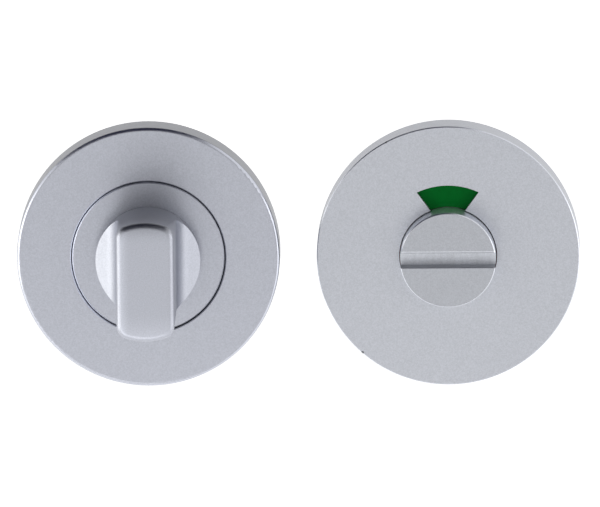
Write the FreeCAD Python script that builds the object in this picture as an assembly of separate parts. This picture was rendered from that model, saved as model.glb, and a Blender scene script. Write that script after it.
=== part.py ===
import FreeCAD, Part
import math
import os

from FreeCAD import Vector

# Bathroom lock set in two halves, side by side as they lie before fitting: the inside
# half with its thumb turn, and the outside half with its coin release and indicator.
# All sizes are millimetres. Each half is modelled on its own axis, with z = 0 at the
# door's face and +z out of the door, and is then stood up so that it faces -Y.
# The origin is on the thumb turn's axis at the door's face, and +Z is up.

# The set
rose_diameter = 52.0
space_between_halves = 7.3
door_thickness = 44.0
match_tolerance = 0.001

# Rose covers
cover_face_thickness = 1.5
cover_skirt_thickness = 1.2
turn_cover_edge_radius = 0.7
release_cover_edge_chamfer = 0.18
cover_hole_chamfer = 0.18
pry_notch_width = 6.0
pry_notch_depth = 1.0

# Snap between cover and base plate
snap_count = 3
snap_first_angle = 30.0
snap_sweep = 16.0
snap_height = 0.35
snap_level = 2.4
snap_width = 1.6
snap_crest_width = 0.6
snap_groove_clearance = 0.12

# Base plates
plate_cover_clearance = 0.15
plate_floor_thickness = 1.8
plate_rim_thickness = 1.4
plate_rib_count = 12
plate_rib_thickness = 1.0
plate_rib_clearance = 0.5
hub_radius = 13.7
web_thickness = 1.2
bolt_edge_distance = 7.0
boss_radius = 4.9
boss_clearance = 0.6
spigot_radius = 3.9
spigot_length = 5.0
screw_edge_distance = 7.0
screw_boss_radius = 3.6
screw_boss_height = 3.0
screw_hole_radius = 1.9
screw_head_radius = 3.1
screw_head_land = 0.4

# Running gear behind the web
shaft_radius = 5.5
shaft_end_depth = 1.2
shaft_bush_clearance = 0.04
shaft_across_flats = 9.6
key_clearance = 0.08
axial_clearance = 0.1
stop_washer_thickness = 0.8
stop_washer_radius = 8.5
stop_tab_radius = 11.6
stop_tab_half_angle = 9.0
stop_margin_angle = 1.5
quarter_turn = 90.0
recess_clearance = 0.5
wave_washer_inner_radius = 5.8
wave_washer_outer_radius = 8.2
wave_washer_thickness = 0.22
wave_washer_height = 0.5
wave_count = 3
wave_points = 12
circlip_thickness = 0.8
circlip_width = 1.5
circlip_gap_angle = 56.0
circlip_ear_radius = 1.05
circlip_ear_overhang = 0.35
circlip_ear_hole_radius = 0.5
groove_radius = 4.75
groove_clearance = 0.04
groove_side_clearance = 0.04

# Bushes
bush_wall = 1.5
bush_flange_radius = 9.0
bush_flange_thickness = 1.0
bush_seat_clearance = 0.05

# Centre disc round the thumb turn
disc_radius = 15.1
disc_gap = 0.2
disc_thickness = 2.5
disc_edge_chamfer = 0.22
disc_spigot_radius = 11.0
disc_spigot_length = 0.9

# Thumb turn, with its heights measured from the rose's face
post_radius = 10.15
post_disc_gap = 0.15
grip_front_radius = 11.95
grip_width = 11.4
grip_height = 26.8
scoop_rim_height = 3.5
scoop_tilt = 28.0
scoop_corner_radius = 4.5
grip_corner_radius = 2.6
grip_foot_corner_radius = 0.35
grip_edge_radius = 1.1

# Spindle and its grub screw
spindle_side = 5.0
spindle_engagement = 6.0
spindle_chamfer = 0.6
socket_clearance = 0.1
turn_socket_height = 6.5
socket_end_clearance = 0.5
grub_radius = 1.5
grub_length = 6.0
grub_height = 3.3
grub_clearance = 0.04
grub_hex_across = 1.5
grub_hex_depth = 1.6
grub_tip_chamfer = 0.5

# Release knob and its coin slot
knob_radius = 9.475
knob_hole_clearance = 0.2
knob_height = 4.8
knob_edge_chamfer = 0.18
slot_width = 2.95
slot_depth = 3.35
slot_edge_chamfer = 0.12
slot_floor_wall = 1.55

# Indicator
indicator_edge_margin = 0.7
indicator_thickness = 1.0
indicator_head_room = 0.4
indicator_key_radius = 7.0
indicator_key_across = 12.0
label_thickness = 0.15
label_knob_clearance = 0.1
label_window_margin = 1.65
label_half_angle = 41.0
window_outer_radius = 14.15
window_inner_half_width = 3.4
window_inner_height = 9.0
window_side_angle = 36.0

# Fixing bolts and threaded sleeves
bolt_radius = 2.0
bolt_neck_radius = 1.77
bolt_neck_run_out = 0.5
bolt_neck_taper = 0.23
bolt_head_radius = 3.75
bolt_head_depth = 0.1
bolt_head_land = 0.35
bolt_hole_clearance = 0.15
bolt_tip_chamfer = 0.5
bolt_thread_overlap = 9.0
cross_recess_width = 0.9
cross_recess_length = 4.2
cross_recess_depth = 1.7
sleeve_radius = 2.9
sleeve_bore_radius = 1.65
sleeve_length = 16.0
sleeve_hex_across = 7.0
sleeve_hex_thickness = 1.6
sleeve_clearance = 0.05

# The set, worked out from the sizes above
rose_radius = rose_diameter / 2
half_spacing = rose_diameter + space_between_halves
bolt_offset = rose_radius - bolt_edge_distance
screw_offset = rose_radius - screw_edge_distance

# Running gear, stacked from the door outwards
circlip_bottom = axial_clearance
circlip_top = circlip_bottom + circlip_thickness
stop_washer_bottom = circlip_top + wave_washer_height
stop_washer_top = stop_washer_bottom + stop_washer_thickness
web_bottom = stop_washer_top + axial_clearance
web_top = web_bottom + web_thickness
release_flange_top = web_top + bush_flange_thickness
indicator_bottom = release_flange_top + axial_clearance
indicator_top = indicator_bottom + indicator_thickness

# Roses, as high as the indicator under the cover needs
cover_inner_level = indicator_top + indicator_head_room
rose_height = cover_inner_level + cover_face_thickness
cover_inner_radius = rose_radius - cover_skirt_thickness
plate_radius = cover_inner_radius - plate_cover_clearance
boss_height = indicator_bottom - boss_clearance
recess_radius = stop_washer_radius + recess_clearance
pocket_radius = stop_tab_radius + recess_clearance
bush_bore_radius = shaft_radius + shaft_bush_clearance
bush_outer_radius = bush_bore_radius + bush_wall

# Thumb turn and spindle
disc_bottom = rose_height - disc_thickness
post_rear = rose_height + post_disc_gap
turn_bush_top = post_rear - axial_clearance / 2
turn_flange_bottom = turn_bush_top - bush_flange_thickness
grip_front = rose_height + grip_height
scoop_rim_level = rose_height + scoop_rim_height
grub_level = rose_height + grub_height
turn_socket_end = rose_height + turn_socket_height
socket_side = spindle_side + 2 * socket_clearance
spindle_rear = -(door_thickness + spindle_engagement)
spindle_front = turn_socket_end - socket_end_clearance
stop_rest_turn = quarter_turn / 2
stop_rest_release = stop_rest_turn + quarter_turn

# Release knob and indicator
knob_front = rose_height + knob_height
slot_floor = knob_front - slot_depth
release_socket_end = slot_floor - slot_floor_wall
label_inner_radius = knob_radius + label_knob_clearance
label_outer_radius = window_outer_radius + label_window_margin
indicator_radius = label_outer_radius + indicator_edge_margin

# Bolts and sleeves
sleeve_top = boss_height
sleeve_rear = sleeve_top - sleeve_length
bolt_top = boss_height - bolt_head_depth
bolt_end = -(door_thickness + sleeve_rear + bolt_thread_overlap)
bolt_bore_radius = bolt_radius + bolt_hole_clearance


def disc(radius, bottom, top, x=0.0, y=0.0):
    return Part.makeCylinder(radius, top - bottom, Vector(x, y, bottom))


def ring(outer, inner, bottom, top):
    return disc(outer, bottom, top).cut(disc(inner, bottom, top))


def block(width, height, bottom, top, x=0.0, y=0.0):
    corner = Vector(x - width / 2, y - height / 2, bottom)
    return Part.makeBox(width, height, top - bottom, corner)


def polar(radius, angle, level=0.0):
    radians = math.radians(angle)
    return Vector(radius * math.cos(radians), radius * math.sin(radians), level)


def sector(inner, outer, middle, half_angle, bottom, top):
    """A piece of a ring between two radii, centred on one angle."""
    start = middle - half_angle
    end = middle + half_angle
    outer_arc = Part.Arc(polar(outer, start), polar(outer, middle), polar(outer, end))
    inner_arc = Part.Arc(polar(inner, end), polar(inner, middle), polar(inner, start))
    edges = [
        outer_arc.toShape(),
        Part.makeLine(polar(outer, end), polar(inner, end)),
        inner_arc.toShape(),
        Part.makeLine(polar(inner, start), polar(outer, start)),
    ]
    face = Part.Face(Part.Wire(edges))
    face.translate(Vector(0, 0, bottom))
    return face.extrude(Vector(0, 0, top - bottom))


def turned(points, start=0.0, sweep=360.0):
    """A profile of (radius, level) points, turned about the axis."""
    corners = [Vector(radius, 0, level) for radius, level in points]
    face = Part.Face(Part.makePolygon(corners + [corners[0]]))
    face.rotate(Vector(0, 0, 0), Vector(0, 0, 1), start)
    return face.revolve(Vector(0, 0, 0), Vector(0, 0, 1), sweep)


def double_d(radius, across, bottom, top):
    flats = block(across, 2 * radius, bottom, top)
    return disc(radius, bottom, top).common(flats)


def hexagon(across, bottom, top, x=0.0, y=0.0):
    """Hexagonal bar, with its size across the flats."""
    corner_angle = 2 * quarter_turn / 3
    corner_radius = across / (2 * math.cos(math.radians(corner_angle / 2)))
    corners = [polar(corner_radius, corner_angle * side, bottom) for side in range(6)]
    face = Part.Face(Part.makePolygon(corners + [corners[0]]))
    face.translate(Vector(x, y, 0))
    return face.extrude(Vector(0, 0, top - bottom))


def circles_at(shape, radius, level):
    """The shape's round edges of one radius at one level."""
    found = []
    for edge in shape.Edges:
        if not isinstance(edge.Curve, Part.Circle):
            continue
        if abs(edge.Curve.Radius - radius) > match_tolerance:
            continue
        if abs(edge.Curve.Center.z - level) > match_tolerance:
            continue
        found.append(edge)
    return found


def fused(first, others):
    return first.fuse(others).removeSplitter()


def rose_cup(blank):
    """Cover turned from its blank: flat face, skirt, snap groove and pry notch."""
    cup = blank.cut(disc(cover_inner_radius, 0, cover_inner_level))
    cup = cup.cut(snap_profile(snap_groove_clearance, 0, 360))
    notch_reach = rose_radius - cover_inner_radius
    notch = block(pry_notch_width, 2 * notch_reach, 0, pry_notch_depth, 0, -rose_radius)
    return cup.cut(notch)


def snap_profile(clearance, start, sweep):
    """Trapezoid ring or bump that locks the cover to the base plate."""
    half_foot = snap_width / 2 + clearance
    half_crest = snap_crest_width / 2 + clearance
    foot_radius = plate_radius - plate_rim_thickness / 2
    crest_radius = plate_radius + snap_height + clearance
    points = [
        (foot_radius, snap_level - half_foot),
        (plate_radius, snap_level - half_foot),
        (crest_radius, snap_level - half_crest),
        (crest_radius, snap_level + half_crest),
        (plate_radius, snap_level + half_foot),
        (foot_radius, snap_level + half_foot),
    ]
    return turned(points, start, sweep)


def turn_cover():
    """Cover with a rounded edge and a round opening for the centre disc."""
    opening_radius = disc_radius + disc_gap
    blank = disc(rose_radius, 0, rose_height)
    rim = circles_at(blank, rose_radius, rose_height)
    cup = rose_cup(blank.makeFillet(turn_cover_edge_radius, rim))
    cup = cup.cut(disc(opening_radius, cover_inner_level, rose_height))
    rim = circles_at(cup, opening_radius, rose_height)
    return cup.makeChamfer(cover_hole_chamfer, rim)


def indicator_window():
    """Fan-shaped opening above the knob, with straight sides and an outer arc."""
    slope = math.tan(math.radians(window_side_angle))
    reach = window_outer_radius
    half_reach = window_inner_half_width + (reach - window_inner_height) * slope
    corners = [
        Vector(-window_inner_half_width, window_inner_height, cover_inner_level),
        Vector(window_inner_half_width, window_inner_height, cover_inner_level),
        Vector(half_reach, reach, cover_inner_level),
        Vector(-half_reach, reach, cover_inner_level),
    ]
    face = Part.Face(Part.makePolygon(corners + [corners[0]]))
    wedge = face.extrude(Vector(0, 0, cover_face_thickness))
    return wedge.common(disc(window_outer_radius, cover_inner_level, rose_height))


def release_cover():
    """Cover with a crisp edge, a hole for the knob and the window above it."""
    hole_radius = knob_radius + knob_hole_clearance
    blank = disc(rose_radius, 0, rose_height)
    rim = circles_at(blank, rose_radius, rose_height)
    cup = rose_cup(blank.makeChamfer(release_cover_edge_chamfer, rim))
    hole = disc(hole_radius, cover_inner_level, rose_height)
    return cup.cut(hole.fuse(indicator_window()))


def countersunk_hole(x, y, hole_radius, head_radius, land, top, bottom):
    """Through hole with a ninety degree cone and a straight land above it."""
    cone_depth = head_radius - hole_radius
    cone_base = Vector(x, y, top - land - cone_depth)
    cone = Part.makeCone(hole_radius, head_radius, cone_depth, cone_base)
    bore = disc(hole_radius, bottom, top, x, y)
    return bore.fuse([cone, disc(head_radius, top - land, top, x, y)])


def plate_ribs(rib_top):
    """Radial ribs from the hub to the rim, half a step away from the bosses."""
    inner = hub_radius - plate_rib_thickness
    outer = plate_radius - plate_rim_thickness / 2
    middle = (inner + outer) / 2
    step = 360 / plate_rib_count
    ribs = []
    for index in range(plate_rib_count):
        rib = block(outer - inner, plate_rib_thickness, 0, rib_top, middle)
        rib.rotate(Vector(0, 0, 0), Vector(0, 0, 1), step / 2 + index * step)
        ribs.append(rib)
    return ribs


def snap_bumps():
    step = 360 / snap_count
    first = snap_first_angle - snap_sweep / 2
    return [snap_profile(0, first + index * step, snap_sweep) for index in range(snap_count)]


def base_plate(hub_top, rib_top):
    """Moulded plate: floor, rim, hub, ribs, bosses and spigots, with the stop pocket."""
    body = disc(plate_radius, 0, plate_floor_thickness)
    rim_inner = plate_radius - plate_rim_thickness
    pieces = [ring(plate_radius, rim_inner, 0, cover_inner_level)]
    pieces.append(disc(hub_radius, 0, hub_top))
    for side in (-1, 1):
        bolt_x = side * bolt_offset
        pieces.append(disc(boss_radius, 0, boss_height, bolt_x))
        pieces.append(disc(spigot_radius, -spigot_length, 0, bolt_x))
        pieces.append(disc(screw_boss_radius, 0, screw_boss_height, 0, side * screw_offset))
    body = fused(body, pieces + plate_ribs(rib_top) + snap_bumps())
    pocket_half_angle = quarter_turn / 2 + stop_tab_half_angle + stop_margin_angle
    pocket_inner = stop_washer_radius - recess_clearance
    body = body.cut(
        [
            disc(recess_radius, 0, web_bottom),
            sector(pocket_inner, pocket_radius, quarter_turn, pocket_half_angle, 0, web_bottom),
            disc(bush_outer_radius + bush_seat_clearance, web_bottom, hub_top),
        ]
    )
    for side in (-1, 1):
        screw_hole = countersunk_hole(
            0, side * screw_offset, screw_hole_radius, screw_head_radius,
            screw_head_land, screw_boss_height, 0,
        )
        body = body.cut(screw_hole)
    return body


def turn_base_plate():
    """Plate with a seat for the centre disc and countersunk holes for the bolts."""
    plate = base_plate(disc_bottom, disc_bottom - plate_rib_clearance)
    seat_bottom = disc_bottom - disc_spigot_length - axial_clearance
    seat_radius = disc_spigot_radius + bush_seat_clearance
    plate = plate.cut(disc(seat_radius, seat_bottom, disc_bottom))
    head_hole_radius = bolt_head_radius + bolt_hole_clearance
    land = bolt_head_depth + bolt_head_land
    for side in (-1, 1):
        bolt_hole = countersunk_hole(
            side * bolt_offset, 0, bolt_bore_radius, head_hole_radius,
            land, boss_height, -spigot_length,
        )
        plate = plate.cut(bolt_hole)
    return plate


def release_base_plate():
    """Plate with a bore and a hexagonal pocket for each threaded sleeve."""
    plate = base_plate(web_top, release_flange_top - plate_rib_clearance)
    pocket_across = sleeve_hex_across + 2 * sleeve_clearance
    pocket_bottom = sleeve_top - sleeve_hex_thickness
    for side in (-1, 1):
        bolt_x = side * bolt_offset
        bore = disc(sleeve_radius + sleeve_clearance, -spigot_length, boss_height, bolt_x)
        pocket = hexagon(pocket_across, pocket_bottom, boss_height, bolt_x)
        plate = plate.cut([bore, pocket])
    return plate


def turn_centre_disc():
    """Disc that fills the cover's opening, seated on the hub and holding the bush."""
    plate = disc(disc_radius, disc_bottom, rose_height)
    plate = plate.makeChamfer(disc_edge_chamfer, circles_at(plate, disc_radius, rose_height))
    spigot = disc(disc_spigot_radius, disc_bottom - disc_spigot_length, disc_bottom)
    plate = fused(plate, [spigot])
    bore_radius = bush_outer_radius + bush_seat_clearance
    flange_seat = bush_flange_radius + bush_seat_clearance
    bore = disc(bore_radius, disc_bottom - disc_spigot_length, rose_height)
    return plate.cut([bore, disc(flange_seat, turn_flange_bottom, rose_height)])


def bush(flange_top):
    """Flanged bush from the web's rear face to the flange in front."""
    flange_bottom = flange_top - bush_flange_thickness
    barrel = ring(bush_outer_radius, bush_bore_radius, web_bottom, flange_top)
    flange = ring(bush_flange_radius, bush_bore_radius, flange_bottom, flange_top)
    return fused(barrel, [flange])


def shaft(top):
    """Round shaft with flats behind the web and a groove for the circlip."""
    round_part = disc(shaft_radius, web_bottom, top)
    keyed_part = double_d(shaft_radius, shaft_across_flats, -shaft_end_depth, web_bottom)
    body = fused(round_part, [keyed_part])
    groove_bottom = circlip_bottom - groove_side_clearance
    groove_top = circlip_top + groove_side_clearance
    return body.cut(ring(2 * shaft_radius, groove_radius, groove_bottom, groove_top))


def post_blank():
    """Round post that flares from the disc to the grip's front."""
    points = [
        (0, post_rear),
        (post_radius, post_rear),
        (grip_front_radius, grip_front),
        (0, grip_front),
    ]
    # The turned surface starts and ends on the grip's upper end, clear of both scoops.
    return turned(points, quarter_turn)


def hollow_start():
    """Half the grip's width, and the level where its straight sides meet the scoops' hollows."""
    tilt = math.radians(scoop_tilt)
    web = grip_width / 2
    corner_level = scoop_rim_level + (post_radius - web) * math.tan(tilt)
    corner_turn = (math.radians(quarter_turn) - tilt) / 2
    return web, corner_level + scoop_corner_radius * math.tan(corner_turn)


def scoop(side):
    """Finger scoop: straight beside the grip, a hollow corner, then a slope out of the post."""
    tilt = math.radians(scoop_tilt)
    half_turn = (math.radians(quarter_turn) - tilt) / 2
    web, start_level = hollow_start()
    centre = web + scoop_corner_radius
    end = (
        centre - scoop_corner_radius * math.sin(tilt),
        start_level - scoop_corner_radius * math.cos(tilt),
    )
    middle = (
        centre - scoop_corner_radius * math.cos(half_turn),
        start_level - scoop_corner_radius * math.sin(half_turn),
    )
    reach = 2 * grip_front_radius
    low = end[1] - (reach - end[0]) * math.tan(tilt)
    high = grip_front + reach
    outline = [(web, start_level), middle, end, (reach, low), (reach, high), (web, high)]
    points = [Vector(side * x, -reach, level) for x, level in outline]
    edges = [Part.Arc(*points[:3]).toShape()]
    loop = points[2:] + points[:1]
    for first, second in zip(loop, loop[1:]):
        edges.append(Part.makeLine(first, second))
    return Part.Face(Part.Wire(edges)).extrude(Vector(0, 2 * reach, 0))


def scooped_post():
    """The post up to the foot of the grip, hollowed on both sides for the finger and thumb."""
    web, foot_level = hollow_start()
    post = post_blank().common(disc(2 * post_radius, post_rear, foot_level))
    return post.cut([scoop(-1), scoop(1)])


def corner_edges(grip, rising):
    """The grip's sharp corner edges that run to its front, or those that run from it."""
    corner_x = grip_width / 2
    corner_y = math.sqrt(grip_front_radius**2 - corner_x**2)
    found = []
    for edge in grip.Edges:
        first, last = edge.firstVertex(), edge.lastVertex()
        front = last if rising else first
        foot = first if rising else last
        off_x = abs(abs(front.X) - corner_x)
        off_y = abs(abs(front.Y) - corner_y)
        if max(off_x, off_y) < match_tolerance and front.Z - foot.Z > match_tolerance:
            found.append(edge)
    return found


def front_edges(grip):
    found = []
    for edge in grip.Edges:
        if edge.BoundBox.ZMin > grip_front - match_tolerance:
            found.append(edge)
    return found


def grip():
    """Flat grip in front of the hollows, whose corners grow rounder towards its soft front."""
    web, foot_level = hollow_start()
    body = post_blank().common(block(2 * web, 4 * grip_front_radius, foot_level, grip_front))
    foot_radius, front_radius = grip_foot_corner_radius, grip_corner_radius
    body = body.makeFillet(foot_radius, front_radius, corner_edges(body, True))
    body = body.makeFillet(front_radius, foot_radius, corner_edges(body, False))
    return body.makeFillet(grip_edge_radius, front_edges(body))


def thumb_turn():
    """Post, grip and shaft in one piece, with the spindle socket and the grub screw's hole."""
    body = fused(scooped_post(), [grip(), shaft(post_rear)])
    socket = block(socket_side, socket_side, -shaft_end_depth, turn_socket_end)
    hole_radius = grub_radius + grub_clearance
    hole_length = post_radius + grip_front_radius
    grub_hole = Part.makeCylinder(
        hole_radius, hole_length, Vector(0, 0, grub_level), Vector(0, -1, 0)
    )
    return body.cut([socket, grub_hole])


def grub_screw():
    """Headless screw whose tip bears on the spindle, seen from the turn's underside."""
    tip_face = spindle_side / 2
    tip_radius = grub_radius - grub_tip_chamfer
    tip_end = tip_face + grub_tip_chamfer
    tail = tip_face + grub_length
    points = [
        (0, tip_face),
        (tip_radius, tip_face),
        (grub_radius, tip_end),
        (grub_radius, tail),
        (0, tail),
    ]
    screw = turned(points)
    screw = screw.cut(hexagon(grub_hex_across, tail - grub_hex_depth, tail))
    screw.rotate(Vector(0, 0, 0), Vector(1, 0, 0), quarter_turn)
    screw.translate(Vector(0, 0, grub_level))
    return screw


def square_spindle():
    """Square bar from the thumb turn's socket through the door, with broken ends."""
    bar = block(spindle_side, spindle_side, spindle_rear, spindle_front)
    ends = []
    for edge in bar.Edges:
        level_span = edge.BoundBox.ZMax - edge.BoundBox.ZMin
        if level_span < spindle_side / 2:
            ends.append(edge)
    return bar.makeChamfer(spindle_chamfer, ends)


def stop_washer(rest_angle):
    """Keyed washer with the tab that swings a quarter turn in the plate's pocket."""
    washer = disc(stop_washer_radius, stop_washer_bottom, stop_washer_top)
    tab_inner = stop_washer_radius - stop_washer_thickness
    tab = sector(
        tab_inner, stop_tab_radius, rest_angle, stop_tab_half_angle,
        stop_washer_bottom, stop_washer_top,
    )
    key_radius = shaft_radius + key_clearance
    key_across = shaft_across_flats + 2 * key_clearance
    key = double_d(key_radius, key_across, stop_washer_bottom, stop_washer_top)
    return fused(washer, [tab]).cut(key)


def wave_edge(radius):
    """Closed wavy curve at one radius, for one edge of the spring washer."""
    amplitude = (wave_washer_height - wave_washer_thickness) / 2 - groove_side_clearance
    level = circlip_top + groove_side_clearance + amplitude
    points = []
    for index in range(wave_points):
        angle = 360 * index / wave_points
        wave = amplitude * math.cos(math.radians(wave_count * angle))
        points.append(polar(radius, angle, level + wave))
    curve = Part.BSplineCurve()
    curve.interpolate(Points=points, PeriodicFlag=True)
    return curve.toShape()


def wave_washer():
    """Spring washer between the circlip and the stop washer."""
    inner = wave_edge(wave_washer_inner_radius)
    outer = wave_edge(wave_washer_outer_radius)
    sheet = Part.makeRuledSurface(inner, outer)
    return sheet.extrude(Vector(0, 0, wave_washer_thickness))


def circlip():
    """Spring ring with a gap and two drilled ears."""
    inner = groove_radius + groove_clearance
    outer = inner + circlip_width
    gap_middle = -quarter_turn
    half_gap = circlip_gap_angle / 2
    body = ring(outer, inner, circlip_bottom, circlip_top)
    opening = sector(inner / 2, 2 * outer, gap_middle, half_gap, circlip_bottom, circlip_top)
    body = body.cut(opening)
    ear_ring = inner + circlip_width / 2 + circlip_ear_overhang
    for side in (-1, 1):
        ear = polar(ear_ring, gap_middle + side * half_gap)
        body = fused(body, [disc(circlip_ear_radius, circlip_bottom, circlip_top, ear.x, ear.y)])
        hole = disc(circlip_ear_hole_radius, circlip_bottom, circlip_top, ear.x, ear.y)
        body = body.cut(hole)
    return body.cut(disc(inner, circlip_bottom, circlip_top))


def release_knob():
    """Knob with its coin slot, the key for the indicator, the shaft and the socket."""
    head = disc(knob_radius, indicator_top, knob_front)
    head = head.makeChamfer(knob_edge_chamfer, circles_at(head, knob_radius, knob_front))
    key = double_d(indicator_key_radius, indicator_key_across, indicator_bottom, indicator_top)
    body = fused(head, [key, shaft(indicator_bottom)])
    body = body.cut(coin_slot())
    socket = block(socket_side, socket_side, -shaft_end_depth, release_socket_end)
    return body.cut(socket)


def coin_slot():
    """Slot right across the knob, with a small break along both long edges."""
    reach = 2 * knob_radius
    half = slot_width / 2
    flare = half + slot_edge_chamfer
    outline = [
        (half, slot_floor),
        (half, knob_front - slot_edge_chamfer),
        (flare, knob_front),
        (flare, knob_front + slot_depth),
    ]
    right_side = [Vector(-reach, y, level) for y, level in outline]
    left_side = [Vector(-reach, -y, level) for y, level in reversed(outline)]
    face = Part.Face(Part.makePolygon(right_side + left_side + [right_side[0]]))
    return face.extrude(Vector(2 * reach, 0, 0))


def indicator_disc():
    """Disc behind the cover, keyed to the knob, that carries the coloured fields."""
    plate = disc(indicator_radius, indicator_bottom, indicator_top)
    key_radius = indicator_key_radius + key_clearance
    key_across = indicator_key_across + 2 * key_clearance
    return plate.cut(double_d(key_radius, key_across, indicator_bottom, indicator_top))


def labels(first_angle):
    """Two opposite fields of one colour, so that the lock suits either hand of door."""
    top = indicator_top + label_thickness
    fields = []
    for angle in (first_angle, first_angle + 2 * quarter_turn):
        fields.append(
            sector(
                label_inner_radius, label_outer_radius, angle, label_half_angle,
                indicator_top, top,
            )
        )
    return Part.makeCompound(fields)


def fixing_bolts():
    """Countersunk bolts with a cross recess and a plain neck, through the plate and the door."""
    cone_bottom = bolt_top - bolt_head_land - (bolt_head_radius - bolt_neck_radius)
    neck_end = -(spigot_length + bolt_neck_run_out)
    tip_radius = bolt_radius - bolt_tip_chamfer
    points = [
        (0, bolt_end),
        (tip_radius, bolt_end),
        (bolt_radius, bolt_end + bolt_tip_chamfer),
        (bolt_radius, neck_end - bolt_neck_taper),
        (bolt_neck_radius, neck_end),
        (bolt_neck_radius, cone_bottom),
        (bolt_head_radius, bolt_top - bolt_head_land),
        (bolt_head_radius, bolt_top),
        (0, bolt_top),
    ]
    bolts = []
    for side in (-1, 1):
        bolt = turned(points)
        recess_bottom = bolt_top - cross_recess_depth
        long_way = block(cross_recess_length, cross_recess_width, recess_bottom, bolt_top)
        cross_way = block(cross_recess_width, cross_recess_length, recess_bottom, bolt_top)
        bolt = bolt.cut([long_way, cross_way])
        bolt.translate(Vector(side * bolt_offset, 0, 0))
        bolts.append(bolt)
    return Part.makeCompound(bolts)


def threaded_sleeves():
    """Hexagon-headed sleeves that sit in the release plate and take the bolts."""
    sleeves = []
    for side in (-1, 1):
        barrel = disc(sleeve_radius, sleeve_rear, sleeve_top)
        head = hexagon(sleeve_hex_across, sleeve_top - sleeve_hex_thickness, sleeve_top)
        sleeve = fused(barrel, [head]).cut(disc(sleeve_bore_radius, sleeve_rear, sleeve_top))
        sleeve.translate(Vector(side * bolt_offset, 0, 0))
        sleeves.append(sleeve)
    return Part.makeCompound(sleeves)


def stood_up(shape, offset):
    """Turns a half's own +z to face -Y, and moves it to its place in the set."""
    placed = shape.copy()
    placed.rotate(Vector(0, 0, 0), Vector(1, 0, 0), quarter_turn)
    placed.translate(Vector(offset, 0, 0))
    return placed


turn_half = {
    "turn_cover": turn_cover(),
    "turn_base_plate": turn_base_plate(),
    "turn_centre_disc": turn_centre_disc(),
    "turn_bush": bush(turn_bush_top),
    "thumb_turn": thumb_turn(),
    "turn_stop_washer": stop_washer(stop_rest_turn),
    "turn_wave_washer": wave_washer(),
    "turn_circlip": circlip(),
    "spindle": square_spindle(),
    "spindle_grub_screw": grub_screw(),
    "fixing_bolts": fixing_bolts(),
}
release_half = {
    "release_cover": release_cover(),
    "release_base_plate": release_base_plate(),
    "release_bush": bush(release_flange_top),
    "release_knob": release_knob(),
    "indicator_disc": indicator_disc(),
    "indicator_green_labels": labels(quarter_turn),
    "indicator_red_labels": labels(0),
    "release_stop_washer": stop_washer(stop_rest_release),
    "release_wave_washer": wave_washer(),
    "release_circlip": circlip(),
    "threaded_sleeves": threaded_sleeves(),
}

os.makedirs("parts", exist_ok=True)
for half, offset in ((turn_half, 0.0), (release_half, half_spacing)):
    for name, shape in half.items():
        stood_up(shape, offset).exportStep(f"parts/{name}.step")
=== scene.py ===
import math

import bmesh
import bpy
from mathutils import Matrix, Vector


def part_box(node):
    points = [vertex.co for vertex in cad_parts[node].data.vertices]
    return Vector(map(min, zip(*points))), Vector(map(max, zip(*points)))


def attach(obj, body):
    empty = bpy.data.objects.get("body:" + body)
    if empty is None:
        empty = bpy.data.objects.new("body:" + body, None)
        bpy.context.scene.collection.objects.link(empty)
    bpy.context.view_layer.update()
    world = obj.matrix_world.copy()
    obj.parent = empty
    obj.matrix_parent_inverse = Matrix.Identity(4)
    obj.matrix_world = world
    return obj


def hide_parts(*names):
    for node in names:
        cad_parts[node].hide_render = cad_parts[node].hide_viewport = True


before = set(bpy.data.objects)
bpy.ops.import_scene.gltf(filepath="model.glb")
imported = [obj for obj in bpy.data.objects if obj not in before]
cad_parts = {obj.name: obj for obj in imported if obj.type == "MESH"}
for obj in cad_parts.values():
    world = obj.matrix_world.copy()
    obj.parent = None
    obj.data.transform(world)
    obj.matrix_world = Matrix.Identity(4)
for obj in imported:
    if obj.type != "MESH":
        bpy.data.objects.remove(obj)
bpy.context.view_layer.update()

# The photograph's width in pixels, and its scale over the front of the roses
IMAGE_WIDTH = 600
PIXELS_PER_MM = 5.058

# The camera, in metres and degrees
MM_PER_METRE = 1000
SENSOR_MM = 36.0
CAMERA_DISTANCE = 4.0
CAMERA_AZIMUTH = 1.1
CAMERA_ELEVATION = 11.0
CAMERA_ROLL = -0.5
AIM_RIGHT = 0.000355
AIM_UP = 0.00061

# The lamps: place from what they light, in metres, side in metres, and watts
LEFT_LAMP = ((-1.3, -0.5, -0.2), 1.2, 9.0)
RIGHT_LAMP = ((1.3, -0.5, -0.2), 1.4, 5.6)
LOW_LAMP = ((-0.06, -0.42, -0.27), 0.2, 0.15)
WHITE = (1.0, 1.0, 1.0)
WARM_WHITE = (1.0, 0.995, 0.94)

# The world's light on surfaces, where the background itself shows at 1, and the floor's glow
WORLD_LIGHT = 0.6
FLOOR_GLOW = 0.6

# The floor, and the dark card over the turn's half, in metres from the rose's middle
FLOOR_DEPTH = 0.45
FLOOR_SIZE = 16.0
FLOOR_COLOUR = (0.82, 0.82, 0.82)
FLOOR_ROUGHNESS = 0.9
CARD_HEIGHT = 0.16
CARD_LEFT = 0.2
CARD_RIGHT = 0.09
CARD_FRONT = 0.5
CARD_BACK = 0.14
CARD_COLOUR = (0.01, 0.01, 0.04)
CARD_ROUGHNESS = 1.0

# Kinds of face by their lean, which is 1 on a rose's face and 0 on its sides: lean and margin
BEVELS = (0.7, 0.22)
SIDES = (0.0, 0.3)
GRIP_FLAT = (1.0, 0.07)
GAP_FACES = (1.0, 0.05)
SLOT_EDGE_FACES = (0.85, 0.2)
SLOT_FLOOR_FACES = (1.0, 0.1)

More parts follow.
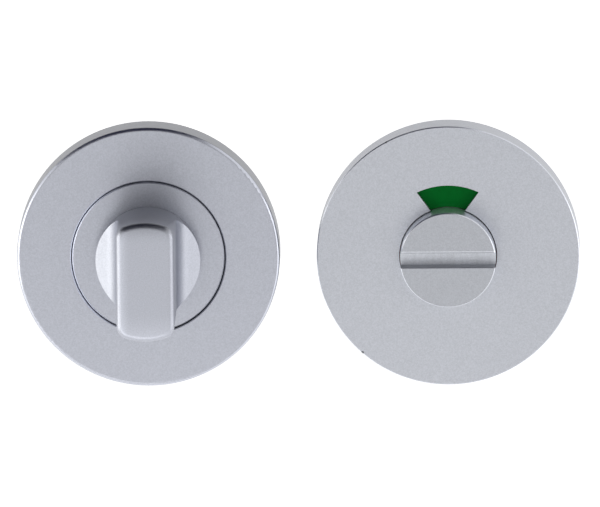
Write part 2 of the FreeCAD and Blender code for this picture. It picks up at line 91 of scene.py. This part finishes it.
# Finish of the turn's rose: painted highlight and smoother roughness on its rim's bevel, painted
# shade on its sides, and painted highlight at the left of the gap round the centre disc
TURN_AXIS_X = 0.0
RIM_START = 0.02
TURN_SIDE_SHADE_GAIN = 0.56
GAP_RADIUS = 0.0152
GAP_REACH = 0.0005
GAP_HIGHLIGHT_GAIN = 1.95
GAP_LEFT_SHARE = (0.2, 0.85)

# Finish of the release's rose: painted light on its sides, and two nicks at its edge
RELEASE_SIDE_LIGHT_GAIN = 1.1
NICKS = ((0.0471, -0.0075, 0.0230), (0.0422, -0.0075, -0.0194))
NICK_RADIUS = 0.0003
NICK_GAIN = 0.3

# Finish of the thumb turn's front, from its rounding on: how far its flat reaches to each side,
# and its painted shade at the top and painted light at the foot and left side, each along one
# axis as start, reach and change of the colour
GRIP_ROUNDING_Y = -0.0331
GRIP_FLAT_REACH = 0.0048
GRIP_TOP_PAINTED_SHADE = ("Z", 0.0074, 0.0039, -0.36)
GRIP_FOOT_PAINTED_LIGHT = ("Z", -0.005, -0.0059, 0.22)
GRIP_SIDE_PAINTED_LIGHT = ("X", -0.0028, -0.0022, 0.36)

# Finish of the knob: painted light on its turned side, painted highlight on its slot's upper edge,
# and tool marks on a slot floor that is painted lighter
KNOB_SIDE_LIGHT_GAIN = 2.2
SLOT_EDGE_Z = 0.00163
SLOT_EDGE_REACH = 0.00017
SLOT_MARGIN = 0.00002
SLOT_EDGE_HIGHLIGHT_GAIN = 1.5
SLOT_FLOOR_Y = -0.00895
SLOT_FLOOR_REACH = 0.0001
SLOT_MARK_SCALE = 1500.0
SLOT_MARK_DETAIL = 3.0
SLOT_MARK_STRETCH = (1, 1, 0.03)
SLOT_FLOOR_LIGHT_AND_MARKS = (1.12, 1.55)

# Finish of the spindle: the fine lines along it
DRAWN_SCALE = 5000.0
DRAWN_DETAIL = 3.0
DRAWN_STRETCH = (1, 0.012, 1)
DRAWN_SPREAD = 0.2
DRAWN_GLOSS_SCALE = 2400.0
DRAWN_GLOSS_STRETCH = (1, 0.03, 1)
DRAWN_SMOOTHER = 0.08
DRAWN_ROUGHER = 0.1
DRAWN_BUMP_STRENGTH = 0.35
DRAWN_BUMP_DEPTH = 0.00002

# Grain of the other finishes: colour as scale per metre and spread, gloss as scale and how much
# smoother and rougher, and bump as scale, strength and depth
SATIN = ((4200.0, 0.085), (600.0, 0.03, 0.03), (4600.0, 0.42, 0.00003))
PLATING = ((2600.0, 0.06), (1100.0, 0.03, 0.05), (3200.0, 0.1, 0.00002))
MOULDING = ((400.0, 0.1), (700.0, 0.05, 0.08), (2500.0, 0.25, 0.00004))
PRINT = ((900.0, 0.05), (500.0, 0.04, 0.06), (3000.0, 0.08, 0.00002))
PRINT_SPECULAR = 0.05

# Shared by the finishes: metallic value, detail of the noise, and where its two shades lie
METAL = 1.0
PLASTIC = 0.0
NOISE_DETAIL = 2.0
RAMP_ENDS = (0.3, 0.7)

# Fixing bolts and threaded sleeves, in metres along Y and out from their own axes
THREAD_PITCH = 0.0007
THREAD_DEPTH = 0.0004
THREAD_FLANK = 1.6
THREAD_CREST = 0.3
THREAD_SAMPLES = 8
THREAD_SEGMENTS = 32
BARREL_SEGMENTS = 64
HEXAGON_SEGMENTS = 6
BOLT_RADIUS = 0.002
BOLT_HEAD_RADIUS = 0.00375
BOLT_HEAD_LAND = 0.00035
BOLT_NECK_RADIUS = 0.00177
BOLT_NECK_END = 0.0055
BOLT_TIP_CHAMFER = 0.0005
RECESS_DEPTH = 0.0017
RECESS_WIDTH = 0.0009
RECESS_LENGTH = 0.0042
SLEEVE_RADIUS = 0.0029
SLEEVE_HEAD_THICKNESS = 0.0016
SLEEVE_HEAD_RADIUS = 0.00404
SLEEVE_BORE_CHAMFER = 0.0003
SHARP_DEGREES = 35


def middle_of(node):
    low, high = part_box(node)
    return (low + high) / 2


def add_object(name, data):
    thing = bpy.data.objects.new(name, data)
    bpy.context.scene.collection.objects.link(thing)
    return thing


def math_node(tree, operation, *values):
    """Output of one Math node that takes other outputs or plain numbers."""
    node = tree.nodes.new("ShaderNodeMath")
    node.operation = operation
    for socket, value in zip(node.inputs, values):
        if isinstance(value, (int, float)):
            socket.default_value = value
        else:
            tree.links.new(value, socket)
    return node.outputs["Value"]


def range_node(tree, value, old=(0.0, 1.0), new=(0.0, 1.0), interpolation="LINEAR"):
    """Output of one Map Range node, from an old range to a new one that it stays within."""
    node = tree.nodes.new("ShaderNodeMapRange")
    node.interpolation_type = interpolation
    node.inputs["From Min"].default_value, node.inputs["From Max"].default_value = old
    node.inputs["To Min"].default_value, node.inputs["To Max"].default_value = new
    tree.links.new(value, node.inputs["Value"])
    return node.outputs["Result"]


class Shader:
    """A Principled material with short ways to add the nodes that feed it."""

    def __init__(self, name, colour, metallic, roughness):
        self.material = bpy.data.materials.new(name)
        self.material.use_nodes = True
        self.tree = self.material.node_tree
        self.surface = self.tree.nodes["Principled BSDF"]
        self.surface.inputs["Base Color"].default_value = (*colour, 1)
        self.surface.inputs["Metallic"].default_value = metallic
        self.surface.inputs["Roughness"].default_value = roughness
        coordinates = self.tree.nodes.new("ShaderNodeTexCoord")
        self.place = coordinates.outputs["Object"]
        self.normal = coordinates.outputs["Normal"]

    def link(self, start, end):
        self.tree.links.new(start, end)

    def maths(self, operation, *values):
        return math_node(self.tree, operation, *values)

    def spread(self, factor, low, high):
        return range_node(self.tree, factor, new=(low, high))

    def noise(self, scale, detail=NOISE_DETAIL, stretch=(1, 1, 1)):
        mapping = self.tree.nodes.new("ShaderNodeMapping")
        mapping.inputs["Scale"].default_value = stretch
        self.link(self.place, mapping.inputs["Vector"])
        texture = self.tree.nodes.new("ShaderNodeTexNoise")
        texture.inputs["Scale"].default_value = scale
        texture.inputs["Detail"].default_value = detail
        self.link(mapping.outputs["Vector"], texture.inputs["Vector"])
        return texture.outputs["Fac"]

    def split(self, vector, axis):
        node = self.tree.nodes.new("ShaderNodeSeparateXYZ")
        self.link(vector, node.inputs["Vector"])
        return node.outputs[axis]

    def along(self, axis):
        """The place on the object along one axis."""
        return self.split(self.place, axis)

    def leaning(self, lean, margin):
        """Mask of the faces with about this lean."""
        here = self.maths("ABSOLUTE", self.split(self.normal, "Y"))
        return self.maths("COMPARE", here, lean, margin)

    def both(self, first, second):
        """Mask of what is in two masks."""
        return self.maths("MULTIPLY", first, second)

    def from_axis(self, axis_x):
        """Distance from an axis along Y."""
        across = self.maths("SUBTRACT", self.along("X"), axis_x)
        height = self.along("Z")
        squares = self.maths("MULTIPLY_ADD", across, across, self.maths("MULTIPLY", height, height))
        return self.maths("SQRT", squares)

    def near(self, point, radius):
        """Mask of a small ball round a point."""
        distance = self.tree.nodes.new("ShaderNodeVectorMath")
        distance.operation = "DISTANCE"
        self.link(self.place, distance.inputs[0])
        distance.inputs[1].default_value = point
        return self.maths("LESS_THAN", distance.outputs["Value"], radius)

    def blend_colours(self, factor, colour, spread):
        ramp = self.tree.nodes.new("ShaderNodeValToRGB")
        for element, position, share in zip(ramp.color_ramp.elements, RAMP_ENDS, (-spread, spread)):
            element.position = position
            element.color = (*[channel * (1 + share) for channel in colour], 1)
        self.link(factor, ramp.inputs["Fac"])
        self.link(ramp.outputs["Color"], self.surface.inputs["Base Color"])

    def vary_roughness(self, factor, low, high):
        self.link(self.spread(factor, low, high), self.surface.inputs["Roughness"])

    def bump(self, height, strength, distance):
        node = self.tree.nodes.new("ShaderNodeBump")
        node.inputs["Strength"].default_value = strength
        node.inputs["Distance"].default_value = distance
        self.link(height, node.inputs["Height"])
        self.link(node.outputs["Normal"], self.surface.inputs["Normal"])

    def multiply_colour(self, gain):
        """The colour so far times a gain that changes over the surface."""
        node = self.tree.nodes.new("ShaderNodeVectorMath")
        node.operation = "SCALE"
        base = self.surface.inputs["Base Color"]
        self.link(base.links[0].from_socket, node.inputs["Vector"])
        self.link(gain, node.inputs["Scale"])
        self.link(node.outputs["Vector"], base)

    def brighten(self, mask, gain):
        self.multiply_colour(self.spread(mask, 1.0, gain))

    def polish(self, mask, change):
        """The roughness so far, less a change where the mask is."""
        roughness = self.surface.inputs["Roughness"]
        so_far = roughness.links[0].from_socket
        self.link(self.maths("SUBTRACT", so_far, self.spread(mask, 0.0, change)), roughness)

    def paint_light_along(self, mask, axis, start, reach, change):
        """Painted light that changes softly along one axis, as the square of the way; a negative
        change paints shade.
        """
        way = range_node(self.tree, self.along(axis), old=(start, start + reach))
        square = self.maths("MULTIPLY", way, way)
        self.brighten(self.both(square, mask), 1.0 + change)


def grained(name, colour, metallic, roughness, grain):
    """A surface with its grain in colour, roughness and bump."""
    (colour_scale, spread), (gloss_scale, smoother, rougher), (bump_scale, strength, depth) = grain
    shader = Shader(name, colour, metallic, roughness)
    shader.blend_colours(shader.noise(colour_scale), colour, spread)
    shader.vary_roughness(shader.noise(gloss_scale), roughness - smoother, roughness + rougher)
    shader.bump(shader.noise(bump_scale), strength, depth)
    return shader


def paint_highlight_and_polish(shader, mask, gain, polish):
    """Painted highlight on edges: a paler colour, and a smoother surface."""
    # Painted highlight: the edge's colour is made paler
    shader.brighten(mask, gain)
    shader.polish(mask, polish)


def grip_aluminium_with_painted_light(name, colour, roughness):
    """The thumb turn: painted shade at the top of its front, and painted light at its foot and left
    side, in place of a slight crown.
    """
    shader = grained(name, colour, METAL, roughness, SATIN)
    front = shader.maths("LESS_THAN", shader.along("Y"), GRIP_ROUNDING_Y)
    middle = shader.maths("COMPARE", shader.along("X"), TURN_AXIS_X, GRIP_FLAT_REACH)
    # Painted shade at the top of the grip's front, and painted light at its foot and left side
    shader.paint_light_along(shader.both(front, middle), *GRIP_TOP_PAINTED_SHADE)
    shader.paint_light_along(front, *GRIP_FOOT_PAINTED_LIGHT)
    shader.paint_light_along(shader.both(front, shader.leaning(*GRIP_FLAT)), *GRIP_SIDE_PAINTED_LIGHT)
    return shader.material


def paint_gap_highlight(shader, radius):
    """Painted highlight on the edges of the gap between the centre disc and its cover, on its left.
    """
    leftness = shader.maths("DIVIDE", shader.along("X"), shader.maths("MULTIPLY", radius, -1.0))
    left = range_node(shader.tree, leftness, old=GAP_LEFT_SHARE, interpolation="SMOOTHSTEP")
    near_gap = shader.maths("COMPARE", radius, GAP_RADIUS, GAP_REACH)
    off_face = shader.maths("SUBTRACT", 1.0, shader.leaning(*GAP_FACES))
    # Painted highlight on the gap's left edges
    shader.brighten(shader.both(shader.both(near_gap, off_face), left), GAP_HIGHLIGHT_GAIN)


def turn_rose_aluminium(name, colour, roughness, gain, polish):
    """The turn's rose: a painted highlight and smoother roughness on its rim's bevel, painted shade
    on its sides, and a painted highlight on the gap's left edges.
    """
    shader = grained(name, colour, METAL, roughness, SATIN)
    radius = shader.from_axis(TURN_AXIS_X)
    outer = shader.maths("GREATER_THAN", radius, RIM_START)
    # Painted highlight on the rim's bevel
    paint_highlight_and_polish(shader, shader.both(shader.leaning(*BEVELS), outer), gain, polish)
    # Painted shade: the rose's sides are darkened
    shader.brighten(shader.both(shader.leaning(*SIDES), outer), TURN_SIDE_SHADE_GAIN)
    paint_gap_highlight(shader, radius)
    return shader.material


def release_rose_aluminium(name, colour, roughness, gain, polish):
    """The release's rose: a painted highlight and smoother roughness on its edges, two tiny dark
    nicks, and painted light on its sides.
    """
    shader = grained(name, colour, METAL, roughness, SATIN)
    # Painted highlight on the rose's bevels
    paint_highlight_and_polish(shader, shader.leaning(*BEVELS), gain, polish)
    # Painted light: the rose's sides are made paler
    shader.brighten(shader.leaning(*SIDES), RELEASE_SIDE_LIGHT_GAIN)
    for place in NICKS:
        shader.brighten(shader.near(place, NICK_RADIUS), NICK_GAIN)
    return shader.material


def slotted_aluminium(name, colour, roughness, gain, polish):
    """The knob: painted light on its turned side, a painted highlight on its slot's upper edge, and
    tool marks on a slot floor that is painted lighter.
    """
    shader = grained(name, colour, METAL, roughness, SATIN)
    height = shader.along("Z")
    slot_side = SLOT_EDGE_Z - SLOT_MARGIN
    outside_slot = shader.maths("GREATER_THAN", shader.maths("ABSOLUTE", height), slot_side)
    # Painted highlight on the knob's bevels
    paint_highlight_and_polish(shader, shader.both(shader.leaning(*BEVELS), outside_slot), gain, polish)
    # Painted light: the knob's turned side is made paler
    shader.brighten(shader.both(shader.leaning(*SIDES), outside_slot), KNOB_SIDE_LIGHT_GAIN)
    # Painted highlight along the slot's upper edge
    at_edge = shader.maths("COMPARE", height, SLOT_EDGE_Z, SLOT_EDGE_REACH)
    shader.brighten(shader.both(shader.leaning(*SLOT_EDGE_FACES), at_edge), SLOT_EDGE_HIGHLIGHT_GAIN)
    at_floor = shader.maths("COMPARE", shader.along("Y"), SLOT_FLOOR_Y, SLOT_FLOOR_REACH)
    floor = shader.both(at_floor, shader.leaning(*SLOT_FLOOR_FACES))
    marks = shader.noise(SLOT_MARK_SCALE, SLOT_MARK_DETAIL, SLOT_MARK_STRETCH)
    # Tool marks, and painted light over the whole slot floor, since every gain is above 1
    change = shader.maths("SUBTRACT", shader.spread(marks, *SLOT_FLOOR_LIGHT_AND_MARKS), 1.0)
    shader.multiply_colour(shader.maths("MULTIPLY_ADD", floor, change, 1.0))
    return shader.material


def drawn_steel(name, colour, roughness):
    """Bright steel bar with the fine lines of its drawing along it."""
    shader = Shader(name, colour, METAL, roughness)
    lines = shader.noise(DRAWN_SCALE, DRAWN_DETAIL, DRAWN_STRETCH)
    shader.blend_colours(lines, colour, DRAWN_SPREAD)
    gloss = shader.noise(DRAWN_GLOSS_SCALE, stretch=DRAWN_GLOSS_STRETCH)
    shader.vary_roughness(gloss, roughness - DRAWN_SMOOTHER, roughness + DRAWN_ROUGHER)
    shader.bump(lines, DRAWN_BUMP_STRENGTH, DRAWN_BUMP_DEPTH)
    return shader.material


def plated_steel(name, colour, roughness):
    return grained(name, colour, METAL, roughness, PLATING).material


def moulded_plastic(name, colour, roughness):
    return grained(name, colour, PLASTIC, roughness, MOULDING).material


def printed_field(name, colour, roughness):
    shader = grained(name, colour, PLASTIC, roughness, PRINT)
    shader.surface.inputs["Specular IOR Level"].default_value = PRINT_SPECULAR
    return shader.material


TURN_COLOUR = (0.399, 0.411, 0.458)
RELEASE_COLOUR = (0.443, 0.456, 0.494)
KNOB_COLOUR = (0.383, 0.395, 0.426)
TURN_ALUMINIUM = grip_aluminium_with_painted_light("cool_aluminium", TURN_COLOUR, roughness=0.41)
# gain is the painted highlight on the bevels; polish is how much smoother they are
TURN_ROSE = turn_rose_aluminium(
    "cool_rose_aluminium", TURN_COLOUR, roughness=0.34, gain=1.5, polish=0.045
)
RELEASE_ROSE = release_rose_aluminium(
    "neutral_aluminium", RELEASE_COLOUR, roughness=0.42, gain=1.55, polish=0.1
)
KNOB_ALUMINIUM = slotted_aluminium(
    "knob_aluminium", KNOB_COLOUR, roughness=0.4, gain=1.75, polish=0.1
)
BLACK_NYLON = moulded_plastic("black_nylon", (0.035, 0.035, 0.04), roughness=0.5)
WHITE_ACETAL = moulded_plastic("white_acetal", (0.75, 0.75, 0.71), roughness=0.38)
ZINC_STEEL = plated_steel("zinc_steel", (0.46, 0.47, 0.49), roughness=0.32)
DRAWN_STEEL = drawn_steel("drawn_steel", (0.4, 0.41, 0.43), roughness=0.42)
SPRING_STEEL = plated_steel("spring_steel", (0.12, 0.115, 0.11), roughness=0.35)
GREEN_FIELD = printed_field("green_field", (0.0005, 0.165, 0.021), roughness=0.45)
RED_FIELD = printed_field("red_field", (0.36, 0.006, 0.01), roughness=0.45)

FINISHES = {
    "turn_cover": TURN_ROSE,
    "turn_centre_disc": TURN_ROSE,
    "thumb_turn": TURN_ALUMINIUM,
    "release_cover": RELEASE_ROSE,
    "release_knob": KNOB_ALUMINIUM,
    "turn_base_plate": BLACK_NYLON,
    "release_base_plate": BLACK_NYLON,
    "indicator_disc": BLACK_NYLON,
    "turn_bush": WHITE_ACETAL,
    "release_bush": WHITE_ACETAL,
    "turn_stop_washer": ZINC_STEEL,
    "release_stop_washer": ZINC_STEEL,
    "spindle": DRAWN_STEEL,
    "fixing_bolts": ZINC_STEEL,
    "threaded_sleeves": ZINC_STEEL,
    "turn_wave_washer": SPRING_STEEL,
    "release_wave_washer": SPRING_STEEL,
    "turn_circlip": SPRING_STEEL,
    "release_circlip": SPRING_STEEL,
    "spindle_grub_screw": SPRING_STEEL,
    "indicator_green_labels": GREEN_FIELD,
    "indicator_red_labels": RED_FIELD,
}


def finish_cad_nodes():
    for name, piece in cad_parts.items():
        piece.data.materials.clear()
        piece.data.materials.append(FINISHES[name])


def thread_cut(y, angle):
    """How far the thread's groove goes in at one place, from 0 at its crest to its full depth."""
    phase = (y / THREAD_PITCH - angle / math.tau) % 1
    slope = THREAD_FLANK * abs(2 * phase - 1) - THREAD_CREST
    return THREAD_DEPTH * min(max(slope, 0), 1)


def turned_mesh(stations, segments):
    """Closed mesh turned about Y from (y, radius, threaded) stations."""
    mesh = bmesh.new()
    rings = []
    for y, radius, threaded in stations:
        ring = []
        for step in range(segments):
            angle = math.tau * step / segments
            reach = radius - (thread_cut(y, angle) if threaded else 0)
            ring.append(mesh.verts.new((reach * math.cos(angle), y, reach * math.sin(angle))))
        rings.append(ring)
    for first, second in zip(rings, rings[1:]):
        for step in range(segments):
            after = (step + 1) % segments
            mesh.faces.new((first[step], first[after], second[after], second[step]))
    mesh.faces.new(rings[0])
    mesh.faces.new(list(reversed(rings[-1])))
    bmesh.ops.recalc_face_normals(mesh, faces=mesh.faces)
    return mesh


def plain_bar(start, end, radius, segments):
    return turned_mesh([(start, radius, False), (end, radius, False)], segments)


def threaded_stations(start, end, radius):
    """Stations of a thread between two that are already there."""
    count = math.ceil((end - start) / THREAD_PITCH * THREAD_SAMPLES)
    return [(start + (end - start) * step / count, radius, True) for step in range(1, count)]


def box_mesh(size, middle):
    mesh = bmesh.new()
    bmesh.ops.create_cube(mesh, size=1.0)
    bmesh.ops.scale(mesh, vec=size, verts=mesh.verts)
    bmesh.ops.translate(mesh, vec=middle, verts=mesh.verts)
    return mesh


def as_object(name, mesh):
    data = bpy.data.meshes.new(name)
    mesh.to_mesh(data)
    mesh.free()
    return add_object(name, data)


def combined(piece, others, operation):
    """The piece with the others joined on or cut out, as one finished mesh."""
    for other in others:
        change = piece.modifiers.new(operation.lower(), "BOOLEAN")
        change.operation = operation
        change.solver = "EXACT"
        change.object = other
        bpy.context.view_layer.update()
        graph = bpy.context.evaluated_depsgraph_get()
        changed = bpy.data.meshes.new_from_object(piece.evaluated_get(graph))
        piece.modifiers.clear()
        piece.data = changed
        bpy.data.objects.remove(other)
    return piece


def fixing_bolt(name, head, tip):
    """One countersunk bolt from its head's face to its tip, threaded after its plain neck."""
    rim = head + BOLT_HEAD_LAND
    cone_end = rim + BOLT_HEAD_RADIUS - BOLT_NECK_RADIUS
    chamfer_start = tip - BOLT_TIP_CHAMFER
    stations = [
        (head, BOLT_HEAD_RADIUS, False),
        (rim, BOLT_HEAD_RADIUS, False),
        (cone_end, BOLT_NECK_RADIUS, False),
        (BOLT_NECK_END, BOLT_NECK_RADIUS, False),
        (BOLT_NECK_END + BOLT_RADIUS - BOLT_NECK_RADIUS, BOLT_RADIUS, True),
    ]
    stations += threaded_stations(stations[-1][0], chamfer_start, BOLT_RADIUS)
    stations.append((chamfer_start, BOLT_RADIUS, True))
    stations.append((tip, BOLT_RADIUS - BOLT_TIP_CHAMFER, False))
    bolt = as_object(name, turned_mesh(stations, THREAD_SEGMENTS))
    middle = (0, head, 0)
    across_size = (RECESS_LENGTH, 2 * RECESS_DEPTH, RECESS_WIDTH)
    upright_size = (RECESS_WIDTH, 2 * RECESS_DEPTH, RECESS_LENGTH)
    across = as_object("recess_across", box_mesh(across_size, middle))
    upright = as_object("recess_upright", box_mesh(upright_size, middle))
    return combined(bolt, [across, upright], "DIFFERENCE")


def threaded_sleeve(name, head, end):
    """One hexagon-headed sleeve with a thread down its bore and a small lead-in at both mouths."""
    barrel = as_object(name, plain_bar(head, end, SLEEVE_RADIUS, BARREL_SEGMENTS))
    head_end = head + SLEEVE_HEAD_THICKNESS
    hexagon = as_object("hexagon", plain_bar(head, head_end, SLEEVE_HEAD_RADIUS, HEXAGON_SEGMENTS))
    margin = THREAD_PITCH
    mouth = BOLT_RADIUS + SLEEVE_BORE_CHAMFER
    stations = [
        (head - margin, mouth + margin, False),
        (head + SLEEVE_BORE_CHAMFER, BOLT_RADIUS, True),
    ]
    stations += threaded_stations(stations[-1][0], end - SLEEVE_BORE_CHAMFER, BOLT_RADIUS)
    stations.append((end - SLEEVE_BORE_CHAMFER, BOLT_RADIUS, True))
    stations.append((end + margin, mouth + margin, False))
    bore = as_object("bore", turned_mesh(stations, THREAD_SEGMENTS))
    combined(barrel, [hexagon], "UNION")
    return combined(barrel, [bore], "DIFFERENCE")


def add_pair(name, node, body, make, radius):
    """A bolt or sleeve on each side of its rose, in place of the plain CAD node."""
    low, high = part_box(node)
    for side, axis_x in (("left", low.x + radius), ("right", high.x - radius)):
        piece = make(f"{name}_{side}", low.y, high.y)
        piece.data.transform(Matrix.Translation((axis_x, 0, 0)))
        piece.data.materials.clear()
        piece.data.materials.append(ZINC_STEEL)
        piece.data.shade_smooth()
        piece.data.set_sharp_from_angle(angle=math.radians(SHARP_DEGREES))
        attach(piece, body)
        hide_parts(node)


def aim(thing, place, target, roll=0.0):
    """Put a camera or lamp in its place, looking at a target."""
    look = (target - place).normalized()
    turned = look.to_track_quat("-Z", "Y").to_matrix().to_4x4()
    rolled = Matrix.Rotation(math.radians(roll), 4, "Z")
    thing.matrix_world = Matrix.Translation(place) @ turned @ rolled


def add_camera():
    left, right = middle_of("turn_cover"), middle_of("release_cover")
    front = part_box("turn_cover")[0].y
    target = Vector(((left.x + right.x) / 2, front, 0))
    azimuth = math.radians(CAMERA_AZIMUTH)
    elevation = math.radians(CAMERA_ELEVATION)
    towards_camera = Vector((
        math.sin(azimuth) * math.cos(elevation),
        -math.cos(azimuth) * math.cos(elevation),
        math.sin(elevation),
    ))
    sideways = Vector((math.cos(azimuth), math.sin(azimuth), 0))
    upwards = towards_camera.cross(sideways)
    target += sideways * AIM_RIGHT + upwards * AIM_UP
    data = bpy.data.cameras.new("camera")
    data.sensor_width = SENSOR_MM
    data.lens = SENSOR_MM * CAMERA_DISTANCE * MM_PER_METRE * PIXELS_PER_MM / IMAGE_WIDTH
    camera = add_object("camera", data)
    aim(camera, target + towards_camera * CAMERA_DISTANCE, target, CAMERA_ROLL)
    bpy.context.scene.camera = camera


def add_lamp(name, target, offset, size, power, colour=WHITE):
    data = bpy.data.lights.new(name, "AREA")
    data.color = colour
    data.shape = "SQUARE"
    data.size = size
    data.energy = power
    aim(add_object(name, data), target + Vector(offset), target)


def background_rays(tree):
    """1 for the rays that show the background itself: camera, glossy and transmission."""
    path = tree.nodes.new("ShaderNodeLightPath").outputs
    direct = math_node(tree, "MAXIMUM", path["Is Camera Ray"], path["Is Glossy Ray"])
    return math_node(tree, "MAXIMUM", direct, path["Is Transmission Ray"])


def add_world():
    world = bpy.data.worlds.new("studio")
    bpy.context.scene.world = world
    world.use_nodes = True
    tree = world.node_tree
    background = tree.nodes["Background"]
    background.inputs["Color"].default_value = (*WHITE, 1)
    strength = range_node(tree, background_rays(tree), new=(WORLD_LIGHT, 1.0))
    tree.links.new(strength, background.inputs["Strength"])


def plain_material(name, colour, roughness):
    material = bpy.data.materials.new(name)
    material.use_nodes = True
    surface = material.node_tree.nodes["Principled BSDF"]
    surface.inputs["Base Color"].default_value = (*colour, 1)
    surface.inputs["Roughness"].default_value = roughness
    return material


def level_sheet(name, left, right, front, back, level, material):
    mesh = bpy.data.meshes.new(name)
    corners = [(left, front), (right, front), (right, back), (left, back)]
    mesh.from_pydata([(*corner, level) for corner in corners], [], [(0, 1, 2, 3)])
    mesh.materials.append(material)
    return add_object(name, mesh)


def add_floor():
    material = plain_material("pale_floor", FLOOR_COLOUR, FLOOR_ROUGHNESS)
    tree = material.node_tree
    surface = tree.nodes["Principled BSDF"]
    surface.inputs["Emission Color"].default_value = (*WHITE, 1)
    glow = math_node(tree, "MULTIPLY", background_rays(tree), FLOOR_GLOW)
    tree.links.new(glow, surface.inputs["Emission Strength"])
    half = FLOOR_SIZE / 2
    floor = level_sheet("floor", -half, half, -half, half, -FLOOR_DEPTH, material)


def add_dark_card(turn):
    """A black card that the camera doesn't see, for the dark lines along the turn's top edges."""
    left, right = turn.x - CARD_LEFT, turn.x + CARD_RIGHT
    front, back = turn.y - CARD_FRONT, turn.y + CARD_BACK
    material = plain_material("black_card", CARD_COLOUR, CARD_ROUGHNESS)
    card = level_sheet("dark_card", left, right, front, back, turn.z + CARD_HEIGHT, material)
    card.visible_camera = False


def add_studio():
    turn, release = middle_of("turn_cover"), middle_of("release_cover")
    centre = (turn + release) / 2
    add_lamp("left_lamp", centre, *LEFT_LAMP, WARM_WHITE)
    add_lamp("right_lamp", centre, *RIGHT_LAMP)
    add_lamp("low_lamp", turn, *LOW_LAMP)
    add_dark_card(turn)
    add_world()
    add_floor()


finish_cad_nodes()
add_pair("fixing_bolt", "fixing_bolts", "roses", fixing_bolt, BOLT_HEAD_RADIUS)
add_pair("threaded_sleeve", "threaded_sleeves", "roses", threaded_sleeve, SLEEVE_HEAD_RADIUS)
add_camera()
add_studio()

scene = bpy.context.scene
scene.view_settings.view_transform = "Standard"
